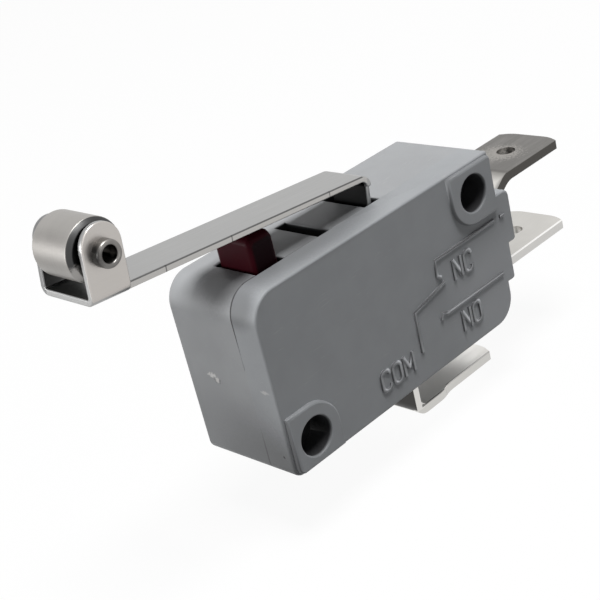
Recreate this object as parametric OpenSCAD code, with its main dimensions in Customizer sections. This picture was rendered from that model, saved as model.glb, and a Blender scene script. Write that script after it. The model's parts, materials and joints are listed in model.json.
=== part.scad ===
/* [Mounting holes] */
// Distance between the two mounting holes along the body
hole_pitch_x = 22.2; // [21.5:0.1:24]
// Distance between the two mounting holes across the body
hole_pitch_z = 10.3; // [10:0.1:12]
// Diameter of the mounting holes
hole_d = 3.2; // [2.6:0.1:3.4]
// Plastic left around a mounting hole inside the case
hole_wall = 1.1; // [0.9:0.05:1.3]

/* [Body] */
// Overall depth, from the rear face to the front of the raised pads
body_depth = 10.3; // [10:0.1:11.5]
// Lower hole to the lever end of the body
edge_left = 2.65; // [2.5:0.05:3.2]
// Upper hole to the terminal end of the body
edge_right = 2.95; // [2.8:0.05:3.4]
// Lower hole to the underside of the body
edge_bottom = 2.55; // [2.4:0.05:3]
// Upper hole to the top of the body
edge_top = 2.55; // [2.4:0.05:3]
// Thickness of the moulded walls
wall = 1.3; // [1.1:0.05:1.4]
// Depth of the front cover, without its raised pads
cover_t = 2.7; // [2.5:0.05:2.9]
// Height of the raised pads round the mounting holes
pad_h = 0.4; // [0.2:0.05:0.6]
// How far the raised pads stay in from the body's edges
pad_inset = 0.25; // [0:0.05:0.5]
// Corner radius at the top of the lever end
round_top_left = 2.3; // [1:0.1:2.5]
// Corner radius at the underside of the lever end
round_bottom_left = 0.9; // [0.4:0.1:1.5]
// Corner radius at the underside of the terminal end
round_bottom_right = 2.2; // [1:0.1:2.4]
// How far the barrier between the end terminals stands out
barrier_out = 1.8; // [1.2:0.1:2.4]
// How far the shoulder under the barrier stands out
shoulder_out = 0.9; // [0.5:0.1:1.1]

/* [Terminals] */
// Width of the push-on tabs
tab_w = 6.3; // [5.6:0.1:6.4]
// Thickness of the push-on tabs
tab_t = 0.8; // [0.6:0.05:0.9]
// Diameter of the detent hole in a tab
tab_hole_d = 1.7; // [1.4:0.1:2.2]
// Tip of a tab to the middle of its hole
tab_hole_inset = 3.7; // [3.2:0.1:4.4]
// Length of the cut corners at the tip of a tab, along the tab
tab_nose = 0.5; // [0.3:0.1:1]
// Width of the cut corners at the tip of a tab, across the tab
tab_cut = 1.1; // [0.8:0.1:1.8]
// How far the upper tab reaches beyond the body
nc_reach = 11.7; // [10.5:0.1:13]
// How far the lower tab reaches beyond the body
no_reach = 10.9; // [10.5:0.1:13]
// Height of the upper terminal where it leaves the body
nc_z = 6.5; // [6.3:0.05:6.7]
// Height that the upper tab is stepped up
nc_rise = 2.1; // [1.6:0.1:2.4]
// Height of the lower terminal
no_z = 1.1; // [0.9:0.05:1.3]
// Place of the common terminal's leg along the body
com_x = 12.6; // [12.2:0.1:13]
// Width of the common terminal's leg in the body
com_leg_w = 5.1; // [4.8:0.1:5.4]
// Width of the common terminal's heel under the body
com_heel_w = 7; // [6.6:0.1:7.2]
// Underside of the body to the underside of the common tab
com_drop = 3.65; // [3:0.05:4.5]
// Reach of the common tab from its leg
com_reach = 10.65; // [10:0.05:12]

/* [Lever] */
// Thickness of the lever's sheet
lever_t = 0.5; // [0.4:0.05:0.6]
// Width of the lever
lever_w = 4.3; // [3.8:0.1:4.6]
// Place of the lever's hinge along the body
hinge_x = 13.55; // [13:0.05:14]
// Height of the lever's underside over its hinge
lever_h = 2.6; // [2.4:0.05:2.9]
// Hinge to the roller's axle, measured along the lever
lever_len = 25.95; // [24:0.05:30]
// How far the free lever slopes up
lever_slope = 5.7; // [5:0.1:7]
// How far the lever can be pressed down
lever_travel = 10; // [6:0.5:10]
// Height of the axle over the lever's underside
axle_h = 3.4; // [3.05:0.05:3.6]
// Overall width of the roller fork
fork_w = 6; // [5.4:0.1:6.4]
// How far the roller fork lies behind the lever's middle line
fork_y = 0.2; // [0:0.05:0.4]
// Half width and top radius of the fork's ears
ear_r = 1.65; // [1.5:0.05:2]
// How far the middle of the ears' round tops lies over the axle
ear_lift = 0.45; // [0:0.05:0.6]

/* [Roller] */
// Diameter of the roller
roller_d = 4.6; // [4:0.1:4.9]
// Gap between the roller and each ear
roller_side_gap = 0.25; // [0.1:0.05:0.4]
// Diameter of the rivet that the roller turns on
rivet_d = 1.6; // [1.4:0.1:2]
// How far the rivet's rolled end stands out of the fork
rivet_out = 0.8; // [0.5:0.05:1.2]

/* [Plunger] */
// Place of the plunger along the body
plunger_x = 2.2; // [2:0.05:2.4]
// Width of the plunger
plunger_w = 2.5; // [2.3:0.1:2.7]
// Gap round the plunger in its opening
plunger_gap = 0.25; // [0.1:0.05:0.3]

/* [Snap mechanism] */
// Pivot of the contact blade to the moving contact
blade_len = 5.6; // [5.2:0.1:5.8]
// Half of the contact travel
half_gap = 0.4; // [0.3:0.05:0.5]
// Thickness of the contact blade
blade_t = 0.35; // [0.25:0.05:0.45]
// Height of the drive arm's pivot over the blade's pivot
pivot_step = 1.1; // [1:0.05:1.3]
// Wire diameter of the snap spring
wire_d = 0.4; // [0.3:0.02:0.44]
// Turns of the snap spring
spring_turns = 14.5; // [10.5:1:16.5]

/* [Hidden] */
$fn = 64;

grey = [0.42, 0.43, 0.45];
dark_red = [0.25, 0.04, 0.07];
nickel = [0.75, 0.74, 0.72];
tinned = [0.80, 0.77, 0.72];
copper = [0.72, 0.45, 0.30];
silver = [0.85, 0.85, 0.86];

// Cut overshoot and the clearances between pieces
over = 1;
slot_gap = 0.15;
shank_gap = 0.02;
spigot_gap = 0.04;
touch_gap = 0.04;
run_gap = 0.05;
pivot_gap = 0.12;
lug_gap = 0.1;
tail_gap = 0.15;
hook_gap = 0.12;
hook_hole_gap = 0.1;

// Faces of the body, with the lower hole's axis at x = 0, z = 0
x_left = -edge_left;
x_right = hole_pitch_x + edge_right;
z_bottom = -edge_bottom;
z_top = hole_pitch_z + edge_top;
y_rear = body_depth / 2;
y_pad = -body_depth / 2;
y_face = y_pad + pad_h;
y_part = y_face + cover_t;
y_cavity = y_rear - wall;
y_recess = y_face + wall;
z_ceiling = z_top - wall;
holes = [[0, 0], [hole_pitch_x, hole_pitch_z]];
pad_r = hole_d / 2 + hole_wall;
spigot_r = hole_d / 2 + hole_wall / 2;
spigot_h = 0.7;

// Barrier and shoulder on the terminal end
barrier_over = 1.8;
barrier_lift = 0.1;
shoulder_drop = 0.1;
barrier_top = nc_z + tab_t / 2 + barrier_over;
barrier_bottom = (nc_z + no_z) / 2 + barrier_lift;
shoulder_bottom = no_z - tab_t / 2 - shoulder_drop;
barrier_round = 0.7;
shoulder_round = 0.3;

// Openings in the top of the body
slot_back = 0.9;
slot_y = y_cavity - slot_back;
slot_w = 1.2;
hinge_slot_w = 1.3;
spare_slot_x = 8.05;
plunger_back = 1.3;
plunger_y = y_cavity - plunger_back;
plunger_front = 0.3;

// Lever
hinge_z = z_top - wall / 2;
bend_r = 0.5;
ear_bend_r = 0.2;
tail_w = -2 * (y_part + tail_gap);
lug_h = 0.8;
lug_drop = hinge_z - z_ceiling + lug_gap + lug_h / 2;
lug_front = 0.75;
lug_rear = 0.7;
axle_up = lever_h + axle_h;
fork_in = fork_w - 2 * lever_t;

// Plunger's domed head, set under the sloping lever
crown_r = 4;
plunger_arm = hinge_x - plunger_x;
function crown_z(slope) = hinge_z + plunger_arm * tan(slope) + (lever_h - crown_r) / cos(slope);
plunger_top = crown_z(lever_slope) + crown_r - touch_gap;
plunger_travel = crown_z(lever_slope) - crown_z(lever_slope - lever_travel);
flange_t = 0.6;
flange_out = 0.7;
stem_w = 1.6;
stem_inset = 0.2;
guide_t = 0.8;
guide_below = 0.5;

// Pivots of the snap mechanism on the common terminal's upright
groove = 0.3;
blade_x = com_x + tab_t / 2 - groove + pivot_gap;
blade_z = (nc_z + no_z) / 2;
arm_x = com_x - tab_t / 2 + groove - pivot_gap;
arm_z = blade_z + pivot_step;
blade_tilt = asin(half_gap / blade_len);
arm_t = 0.5;
arm_reach = arm_x - plunger_x;
arm_tilt = atan(plunger_travel / 2 / arm_reach);
hook_out = 0.7;
arm_hook = arm_reach + hook_out;
bar_out = 0.7;
bar_in = 0.3;
bar_root = arm_reach - stem_w / 2 - bar_in;
blade_hook = 3.4;
blade_web = 0.9;
blade_rim = 0.2;
plate_w = 4.6;
plunger_tip_r = stem_w / 2;
plunger_bottom = arm_z + arm_reach * tan(arm_tilt) + arm_t / 2 / cos(arm_tilt)
                 + plunger_tip_r / cos(arm_tilt) - plunger_tip_r + touch_gap;

// Contacts
contact_r = 1.5;
moving_r = 1.3;
moving_h = 0.75;
dome_r = 4;
shank_r = 0.6;
contact_land = 0.25;
contact_x = blade_x + blade_len * cos(blade_tilt);
contact_face = blade_z + half_gap - (dome_r - moving_h) * cos(blade_tilt) + dome_r + touch_gap;
contact_t = nc_z - tab_t / 2 - contact_face;

// Bends and narrow places of the terminals
inner_inset = 0.75;
nc_root = 0.75;
nc_step = 3.1;
com_bend_r = 0.15;
com_neck = 3.3;
com_taper = 0.9;
heel_gap = 0.2;

// Snap spring
coil_r = 0.72;
coil_side_gap = 0.28;
hook_hole_d = 2 * wire_d + hook_hole_gap;
slot_half = coil_r + wire_d / 2 + coil_side_gap;
window_over = 0.95;
window_under = 1.4;
window_rail = 0.85;
window_top = arm_z + window_over;
window_bottom = blade_z - window_under;
upright_top = window_top + window_rail;
spring_end_l = blade_x + blade_hook * cos(blade_tilt) - (arm_x - arm_hook * cos(arm_tilt));
spring_end_free = blade_z + blade_hook * sin(blade_tilt) - (arm_z + arm_hook * sin(arm_tilt));
spring_end_pressed = -spring_end_free - 2 * pivot_step;
spring_len = (norm([spring_end_l, spring_end_free]) + norm([spring_end_l, spring_end_pressed])) / 2;
spring_tilt = atan(spring_end_free / spring_end_l);

// Extrudes a side view drawn in x and z between two depths
module slab(y0, y1) {
    translate([0, y1, 0]) rotate([90, 0, 0]) linear_extrude(y1 - y0) children();
}

// Box given by two corners
module box(p, q) {
    translate(p) cube(q - p);
}

// Fills the square corner outside a quarter circle
module corner_rest(p, way, r) {
    translate(p) difference() {
        translate([way[0] > 0 ? 0 : -r, way[1] > 0 ? 0 : -r]) square(r);
        translate([way[0] * r, way[1] * r]) circle(r);
    }
}

// Rectangle with its own radius at each corner, from bottom left counter-clockwise
module rounded_box(p, q, radii) {
    difference() {
        translate(p) square(q - p);
        if (radii[0] > 0) corner_rest(p, [1, 1], radii[0]);
        if (radii[1] > 0) corner_rest([q[0], p[1]], [-1, 1], radii[1]);
        if (radii[2] > 0) corner_rest(q, [-1, -1], radii[2]);
        if (radii[3] > 0) corner_rest([p[0], q[1]], [1, -1], radii[3]);
    }
}

// Side view of the body with its stepped terminal end
module body_outline() {
    rounded_box([x_left, z_bottom], [x_right, z_top],
                [round_bottom_left, round_bottom_right, shoulder_round, round_top_left]);
    rounded_box([x_right - wall, barrier_bottom], [x_right + barrier_out, barrier_top],
                [0, shoulder_round, barrier_round, 0]);
    rounded_box([x_right - wall, shoulder_bottom], [x_right + shoulder_out, barrier_bottom + wall],
                [0, shoulder_round, 0, 0]);
}

// Corner pad round each mounting hole, square to the body's corner and round inwards
module hole_pads(inset) {
    rounded_box([x_left + inset, z_bottom + inset], [pad_r, pad_r],
                [round_bottom_left - inset, 0, pad_r, 0]);
    rounded_box(holes[1] - [pad_r, pad_r], [x_right - inset, z_top - inset],
                [pad_r, 0, shoulder_round, 0]);
}

// Side view of the hollow inside, which leaves the two hole pads standing
module cavity_outline() {
    difference() {
        rounded_box([x_left + wall, z_bottom + wall], [x_right - wall, z_ceiling],
                    [0, round_bottom_right - wall / 2, 0, round_top_left - wall / 2]);
        hole_pads(0);
    }
}

module mounting_holes() {
    for (at = holes)
        translate([at[0], y_rear + over, at[1]]) rotate([90, 0, 0])
            cylinder(d = hole_d, h = body_depth + 2 * over);
}

// Slots that the three terminals leave the body through
module terminal_slots() {
    half_w = tab_w / 2 + slot_gap;
    half_t = tab_t / 2 + slot_gap;
    far = x_right + barrier_out + over;
    box([x_right - wall - over, -half_w, nc_z - half_t], [far, half_w, nc_z + half_t]);
    box([x_right, -half_w, nc_z - half_t], [far, half_w, barrier_top + over]);
    box([x_right - wall - over, -half_w, no_z - half_t], [far, half_w, no_z + half_t]);
    half_leg = com_leg_w / 2 + slot_gap;
    box([com_x - half_t, -half_leg, z_bottom - over], [com_x + half_t, half_leg, z_bottom + wall + over]);
}

// Openings in the top wall for the plunger, the lever and the spare lever place
module top_openings() {
    z0 = z_ceiling - over;
    z1 = z_top + over;
    half_p = plunger_w / 2 + plunger_gap;
    half_h = hinge_slot_w / 2;
    half_s = slot_w / 2;
    box([plunger_x - half_p, y_part - over, z0], [plunger_x + half_p, plunger_y + plunger_gap, z1]);
    box([hinge_x - half_h, y_part - over, z0], [hinge_x + half_h, slot_y, z1]);
    box([spare_slot_x - half_s, y_part - over, z0], [spare_slot_x + half_s, slot_y, z1]);
}

// Ribs under the top wall that guide the plunger's flange
module plunger_guides() {
    reach = plunger_w / 2 + flange_out + plunger_gap;
    z0 = z_ceiling - flange_t - plunger_travel - touch_gap - guide_below;
    for (x0 = [plunger_x - reach - guide_t, plunger_x + reach])
        box([x0, y_part, z0], [x0 + guide_t, y_cavity + wall / 2, z_ceiling + wall / 2]);
}

module case() {
    color(grey) difference() {
        union() {
            difference() {
                slab(y_part, y_rear) body_outline();
                slab(y_part - over, y_cavity) cavity_outline();
            }
            plunger_guides();
            for (at = holes)
                translate([at[0], y_part + wall, at[1]]) rotate([90, 0, 0])
                    cylinder(r = spigot_r, h = spigot_h + wall);
        }
        mounting_holes();
        terminal_slots();
        top_openings();
    }
}

module cover() {
    color(grey) difference() {
        union() {
            slab(y_face, y_part) body_outline();
            slab(y_pad, y_face + pad_h) hole_pads(pad_inset);
        }
        slab(y_recess, y_part + over) cavity_outline();
        for (at = holes)
            translate([at[0], y_part + over, at[1]]) rotate([90, 0, 0])
                cylinder(r = spigot_r + spigot_gap, h = spigot_h + spigot_gap + over);
        mounting_holes();
        terminal_slots();
    }
}

// Push button: domed head, flange under the top wall and a stem with a rounded tip
module plunger() {
    half = plunger_w / 2;
    front = y_part + plunger_front;
    flange_top = z_ceiling - touch_gap;
    color(dark_red) translate([plunger_x, 0, 0]) {
        intersection() {
            box([-half, front, flange_top - flange_t], [half, plunger_y, plunger_top]);
            translate([0, (front + plunger_y) / 2, plunger_top - crown_r]) sphere(crown_r, $fn = 96);
        }
        slab(front, plunger_y) translate([-half - flange_out, flange_top - flange_t])
            square([plunger_w + 2 * flange_out, flange_t]);
        slab(front + stem_inset, plunger_y - stem_inset) {
            translate([-stem_w / 2, plunger_bottom + plunger_tip_r])
                square([stem_w, flange_top - flange_t / 2 - plunger_bottom - plunger_tip_r]);
            translate([0, plunger_bottom + plunger_tip_r]) circle(plunger_tip_r);
        }
    }
}

// Side view of the lever's strip, bend and tail, with the hinge at the origin
module lever_side() {
    out = bend_r + lever_t;
    top = lever_h + lever_t;
    right = lever_t / 2;
    translate([-lever_len + ear_r - over, lever_h])
        square([lever_len - ear_r + over + right - out, lever_t]);
    translate([right - out, top - out]) intersection() {
        difference() {
            circle(out);
            circle(bend_r);
        }
        square(out);
    }
    translate([-right, -lug_drop - lug_h / 2]) square([lever_t, lug_drop + lug_h / 2 + top - out]);
}

// End view of the roller fork: floor and two ears bent up
module fork_end() {
    out = ear_bend_r + lever_t;
    tall = axle_h + ear_lift + ear_r;
    difference() {
        rounded_box([-fork_w / 2, 0], [fork_w / 2, tall], [out, out, 0, 0]);
        rounded_box([-fork_in / 2, lever_t], [fork_in / 2, tall + over], [ear_bend_r, ear_bend_r, 0, 0]);
    }
}

// Side view of the fork's ears
module ear_side() {
    translate([-ear_r, 0]) square([2 * ear_r, axle_h + ear_lift]);
    translate([0, axle_h + ear_lift]) circle(ear_r);
}

// Places the fork, the roller and the rivet at the far end of the free lever
module at_lever() {
    translate([hinge_x, 0, hinge_z]) rotate([0, lever_slope, 0]) children();
}

module lever() {
    color(nickel) at_lever() {
        difference() {
            union() {
                slab(-lever_w / 2, lever_w / 2) intersection() {
                    lever_side();
                    translate([-lever_len, lever_h - bend_r])
                        square([lever_len + lever_t, lever_t + bend_r + over]);
                }
                slab(-tail_w / 2, tail_w / 2) lever_side();
                box([-lever_t / 2, y_part - lug_front, -lug_drop - lug_h / 2],
                    [lever_t / 2, slot_y + lug_rear, -lug_drop + lug_h / 2]);
                translate([-lever_len, fork_y, lever_h]) intersection() {
                    translate([-ear_r - over, 0, 0]) rotate([90, 0, 90])
                        linear_extrude(2 * ear_r + 2 * over) fork_end();
                    slab(-fork_w, fork_w) ear_side();
                }
            }
            translate([-lever_len, fork_w, axle_up]) rotate([90, 0, 0])
                cylinder(d = rivet_d + 2 * shank_gap, h = 2 * fork_w);
        }
    }
}

// Turns a half profile drawn as radius and depth about the roller's axle
module turned() {
    at_lever() translate([-lever_len, fork_y, axle_up]) rotate([-90, 0, 0]) rotate_extrude() children();
}

module roller() {
    half = fork_in / 2 - roller_side_gap;
    r = roller_d / 2;
    chamfer = 0.35;
    bore = rivet_d / 2 + run_gap;
    color(nickel) turned() polygon([[bore, -half], [r - chamfer, -half], [r, -half + chamfer],
                                    [r, half - chamfer], [r - chamfer, half], [bore, half]]);
}

// Half-hollow rivet: flat head at the rear, rolled rim round the hollow at the front
module roller_rivet() {
    r = rivet_d / 2;
    half = fork_w / 2;
    head_out = 0.45;
    head_h = 0.4;
    rim = 0.2;
    lip = rivet_out - rim;
    hollow_h = 1.1;
    color(nickel) turned() {
        difference() {
            translate([0, -half - lip]) square([r, 2 * half + lip + head_h / 2]);
            translate([0, -half - lip - over]) square([r - rim, hollow_h + lip + over]);
        }
        translate([r, -half - lip]) circle(rim);
        translate([r - rim, -half - lip]) square([2 * rim, lip]);
        translate([0, half]) square([r + head_out, head_h]);
    }
}

// Plan of a push-on tab that points along +x from its root, with its hole
module tab_plan(root, tip) {
    half = tab_w / 2;
    difference() {
        polygon([[root, -half], [tip - tab_nose, -half], [tip, -half + tab_cut],
                 [tip, half - tab_cut], [tip - tab_nose, half], [root, half]]);
        translate([tip - tab_hole_inset, 0]) circle(d = tab_hole_d);
    }
}

// Flat sheet drawn in plan, centred on a height
module sheet(z) {
    translate([0, 0, z - tab_t / 2]) linear_extrude(tab_t) children();
}

// Plan of the contact end of a terminal inside the body, with the contact's rivet hole
module contact_arm_plan(end) {
    inner_w = tab_w - 2 * inner_inset;
    side = contact_r + contact_land;
    difference() {
        union() {
            translate([contact_x, -inner_w / 2]) square([end - contact_x, inner_w]);
            translate([contact_x - side, -side]) square([2 * side, 2 * side]);
        }
        translate([contact_x, 0]) circle(shank_r);
    }
}

// Upper terminal: contact arm, step up outside the body and tab
module nc_terminal() {
    x0 = x_right + nc_root;
    x1 = x0 + nc_step;
    root = x_right - wall;
    half = tab_t / 2;
    mitre = half * tan(atan(nc_rise / nc_step) / 2);
    z0 = nc_z;
    z1 = nc_z + nc_rise;
    color(tinned) {
        sheet(z0) contact_arm_plan(root);
        slab(-tab_w / 2, tab_w / 2) polygon([[root, z0 - half], [x0 + mitre, z0 - half],
                                             [x1 + mitre, z1 - half], [x1 + mitre, z1 + half],
                                             [x1 - mitre, z1 + half], [x0 - mitre, z0 + half],
                                             [root, z0 + half]]);
        sheet(z1) tab_plan(x1 + mitre, x_right + nc_reach);
    }
}

// Lower terminal: one straight strip
module no_terminal() {
    color(tinned) {
        sheet(no_z) contact_arm_plan(x_right - wall);
        sheet(no_z) tab_plan(x_right - wall, x_right + no_reach);
    }
}

// V groove across the upright, cut into its face at x towards way
module v_groove(x, z, way) {
    slab(-com_leg_w, com_leg_w) polygon([[x - way * over, z - groove - over], [x + way * groove, z],
                                         [x - way * over, z + groove + over]]);
}

// Common terminal: upright with a window and two pivot grooves, wider heel with the bend, and tab
module com_terminal() {
    half = tab_t / 2;
    half_leg = com_leg_w / 2;
    half_heel = com_heel_w / 2;
    half_tab = tab_w / 2;
    out_r = com_bend_r + tab_t;
    tab_z = z_bottom - com_drop + half;
    tab_root = com_x + com_neck;
    bend_x = com_x + half + com_bend_r;
    bend_z = tab_z + half + com_bend_r;
    color(tinned) difference() {
        union() {
            slab(-half_leg, half_leg)
                translate([com_x - half, bend_z]) square([tab_t, upright_top - bend_z]);
            slab(-half_heel, half_heel) {
                translate([com_x - half, bend_z]) square([tab_t, z_bottom - heel_gap - bend_z]);
                translate([bend_x, bend_z]) intersection() {
                    difference() {
                        circle(out_r);
                        circle(com_bend_r);
                    }
                    translate([-out_r, -out_r]) square(out_r);
                }
                translate([bend_x, tab_z - half]) square([tab_root - bend_x, tab_t]);
            }
            sheet(tab_z) polygon([[tab_root, -half_heel], [tab_root + com_taper, -half_tab],
                                  [tab_root + com_taper, half_tab], [tab_root, half_heel]]);
            sheet(tab_z) tab_plan(tab_root + com_taper, com_x + com_reach);
        }
        box([com_x - tab_t, -slot_half, window_bottom], [com_x + tab_t, slot_half, window_top]);
        v_groove(com_x + half, blade_z, -1);
        v_groove(com_x - half, arm_z, 1);
    }
}

// Fixed contact: head against the terminal and a shank through it
module fixed_contact(z, way) {
    translate([contact_x, 0, z]) mirror([0, 0, way > 0 ? 0 : 1]) {
        translate([0, 0, tab_t / 2]) cylinder(r = contact_r, h = contact_t);
        translate([0, 0, -tab_t / 2]) cylinder(r = shank_r - shank_gap, h = tab_t + contact_t / 2);
    }
}

module nc_contact() {
    color(silver) fixed_contact(nc_z, -1);
}

module no_contact() {
    color(silver) fixed_contact(no_z, 1);
}

// Places what turns on the blade's pivot, in its free position
module at_blade() {
    translate([blade_x, 0, blade_z]) rotate([0, -blade_tilt, 0]) children();
}

// Side view of a pivoting plate with a knife edge at the origin, drawn towards +x
module knife_side(len, t) {
    polygon([[0, 0], [t, -t / 2], [len, -t / 2], [len, t / 2], [t, t / 2]]);
}

// Contact blade: two prongs with knife edges, spring hole and contact hole
module contact_blade() {
    end = blade_len + moving_r + blade_rim;
    color(copper) at_blade() difference() {
        slab(-plate_w / 2, plate_w / 2) knife_side(end, blade_t);
        box([-over, -slot_half, -blade_t], [blade_hook - blade_web, slot_half, blade_t]);
        translate([blade_hook, 0, -blade_t]) cylinder(d = hook_hole_d, h = 2 * blade_t);
        translate([blade_len, 0, -blade_t]) cylinder(r = shank_r, h = 2 * blade_t);
    }
}

// Half profile of the moving contact's domed head above the blade
module dome_half() {
    intersection() {
        translate([0, moving_h - dome_r]) circle(dome_r, $fn = 180);
        translate([0, blade_t / 2]) square([moving_r, moving_h]);
    }
}

// Moving contact: a domed head on each side of the blade and a shank between them
module moving_contact() {
    color(silver) at_blade() translate([blade_len, 0, 0]) {
        rotate_extrude() dome_half();
        mirror([0, 0, 1]) rotate_extrude() dome_half();
        translate([0, 0, -moving_h / 2]) cylinder(r = shank_r - shank_gap, h = moving_h);
    }
}

// Places what turns on the drive arm's pivot, in its free position
module at_arm() {
    translate([arm_x, 0, arm_z]) rotate([0, arm_tilt, 0]) children();
}

// Drive arm: two prongs with knife edges and a bar with the spring's hole under the plunger
module drive_arm() {
    color(nickel) at_arm() difference() {
        mirror([1, 0, 0]) slab(-plate_w / 2, plate_w / 2) knife_side(arm_hook + bar_out, arm_t);
        box([-bar_root, -slot_half, -arm_t], [over, slot_half, arm_t]);
        translate([-arm_hook, 0, -arm_t]) cylinder(d = hook_hole_d, h = 2 * arm_t);
    }
}

// Path of the spring's wire: hook through the arm, coil, hook through the blade
coil_clear = 0.4;
coil_stop = 1.5;
hook_run = 0.5;
hook_round = 0.1;
coil_start = arm_hook - bar_root + coil_clear;
coil_end = spring_len - coil_stop;
steps = 10;
under = arm_t / 2 + wire_d / 2 + hook_gap;
above = blade_t / 2 + wire_d / 2 + hook_gap;
function coil_point(i) =
    let (turn = -90 + 360 * i / steps,
         x = coil_start + (coil_end - coil_start) * i / (spring_turns * steps))
    [x, coil_r * cos(turn), coil_r * sin(turn)];
wire_path = concat([[0, 0, arm_t / 2 - hook_round], [0, 0, hook_round - under], [hook_round, 0, -under],
                    [coil_start - hook_run, 0, -under]],
                   [for (i = [0:spring_turns * steps]) coil_point(i)],
                   [[coil_end + hook_run, 0, above], [spring_len - hook_round, 0, above],
                    [spring_len, 0, above - hook_round], [spring_len, 0, hook_round - blade_t / 2]]);

// Unit vector, and the wire's direction at a point of its path
function unit(v) = v / norm(v);
function heading(p, i) = unit(p[min(i + 1, len(p) - 1)] - p[max(i - 1, 0)]);
// Ring of points round the path, kept from twisting by its radial direction
function ring(p, i, sides) =
    let (d = heading(p, i), side = unit(cross(d, abs(d[1]) > 0.9 ? [1, 0, 0] : [0, 1, 0])),
         up = cross(d, side))
    [for (k = [0:sides - 1])
        p[i] + wire_d / 2 * (cos(360 * k / sides) * side + sin(360 * k / sides) * up)];

// Round wire swept along a path
module wire(p, sides) {
    n = len(p);
    points = [for (i = [0:n - 1]) each ring(p, i, sides)];
    walls = [for (i = [0:n - 2], k = [0:sides - 1])
        [i * sides + k, i * sides + (k + 1) % sides,
         (i + 1) * sides + (k + 1) % sides, (i + 1) * sides + k]];
    first = [for (k = [0:sides - 1]) sides - 1 - k];
    last = [for (k = [0:sides - 1]) (n - 1) * sides + k];
    polyhedron(points, concat([first], walls, [last]), convexity = 10);
}

module snap_spring() {
    color(silver) at_arm() translate([-arm_hook, 0, 0]) rotate([0, -arm_tilt - spring_tilt, 0])
        wire(wire_path, 6);
}

case();
cover();
plunger();
lever();
roller();
roller_rivet();
com_terminal();
nc_terminal();
no_terminal();
nc_contact();
no_contact();
contact_blade();
moving_contact();
drive_arm();
snap_spring();
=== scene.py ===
"""Looks of a snap-action micro switch with a roller lever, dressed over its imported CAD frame.

Sizes are in millimetres and angles in degrees, unless a comment says otherwise. The origin is on
the lower mounting hole: +X runs to the end terminals, -Y out of the cover and +Z up to the lever.
"""

from __future__ import annotations

import json
import logging
import math
from dataclasses import dataclass, field, replace
from enum import Enum
from typing import Any, Callable, Sequence

import bmesh
import bpy
from mathutils import Matrix, Vector

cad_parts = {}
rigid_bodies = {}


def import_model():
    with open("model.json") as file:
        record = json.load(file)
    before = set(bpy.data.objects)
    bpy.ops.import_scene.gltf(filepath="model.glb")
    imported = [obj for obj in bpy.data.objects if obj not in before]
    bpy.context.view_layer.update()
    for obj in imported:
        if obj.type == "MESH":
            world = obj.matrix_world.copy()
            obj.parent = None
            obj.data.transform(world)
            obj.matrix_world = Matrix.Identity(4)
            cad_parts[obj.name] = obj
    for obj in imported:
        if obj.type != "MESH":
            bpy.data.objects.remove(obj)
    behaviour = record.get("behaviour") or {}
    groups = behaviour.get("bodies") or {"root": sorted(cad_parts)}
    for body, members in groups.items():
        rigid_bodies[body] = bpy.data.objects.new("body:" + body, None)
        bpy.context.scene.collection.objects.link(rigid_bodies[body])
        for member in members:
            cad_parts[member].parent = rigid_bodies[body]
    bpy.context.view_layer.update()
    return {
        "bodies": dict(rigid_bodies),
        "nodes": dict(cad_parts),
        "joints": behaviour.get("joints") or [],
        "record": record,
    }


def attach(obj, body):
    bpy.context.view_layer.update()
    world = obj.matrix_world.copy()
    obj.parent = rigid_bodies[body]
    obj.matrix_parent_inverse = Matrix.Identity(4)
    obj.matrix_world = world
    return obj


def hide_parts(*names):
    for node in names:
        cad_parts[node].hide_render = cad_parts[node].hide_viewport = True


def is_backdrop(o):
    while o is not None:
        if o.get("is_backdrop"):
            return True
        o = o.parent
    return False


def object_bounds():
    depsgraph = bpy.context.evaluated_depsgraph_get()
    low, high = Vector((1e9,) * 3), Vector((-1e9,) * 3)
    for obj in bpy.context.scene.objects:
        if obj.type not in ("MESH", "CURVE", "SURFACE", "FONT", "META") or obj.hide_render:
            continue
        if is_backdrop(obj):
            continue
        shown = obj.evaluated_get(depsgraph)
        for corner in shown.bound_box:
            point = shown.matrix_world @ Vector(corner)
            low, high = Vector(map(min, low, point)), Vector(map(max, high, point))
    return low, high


LOG = logging.getLogger("micro_switch")

Socket = bpy.types.NodeSocket
Node = bpy.types.Node
Piece = bpy.types.Object
Colour = tuple[float, float, float]
Point = tuple[float, float, float]
Place = tuple[float, float]
Stroke = tuple[list[Place], bool]

# A millimetre in the frame's metres, and the distance in metres within which corners are one.
MM = 0.001
MERGE = 0.002 * MM

# How near a corner lies to its plane, the least turn of an edge and the most turn of a flat face.
NEAR = 0.01
EDGE_TURN = 20.0
FLAT_TURN = 0.3

# Sizes and tones that the finishes and the pieces share.
COVER_FACE = -4.75
HOLES: tuple[Place, ...] = ((0.0, 0.0), (22.2, 10.3))
LEVER_HINGE: Point = (13.55, 0.0, 12.2)
LEVER_SLOPE = 5.7
WHITE = (1.0, 1.0, 1.0, 1.0)
# The first two tones are painted shade, a deep one and a soft one; the third is scuff wear and the
# last the tone of nicks.
PAINTED_DEEP_SHADE: Colour = (0.03, 0.03, 0.032)
SOFT_SHADE: Colour = (0.14, 0.143, 0.147)
SCUFF: Colour = (0.68, 0.67, 0.66)
CREASE: Colour = (0.05, 0.05, 0.05)

# Names of the frame's objects by CAD node, filled when the frame is loaded.
NODES: dict[str, str] = {}


class Body(Enum):
    """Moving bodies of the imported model."""

    FIXED = "body"
    LEVER = "lever"
    ROLLER = "roller"
    PLUNGER = "plunger"


class Slot(Enum):
    """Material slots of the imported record."""

    GREY = "grey_plastic"
    RED = "red_plastic"
    NICKEL = "nickel_steel"
    TIN = "tinned_brass"


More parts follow.
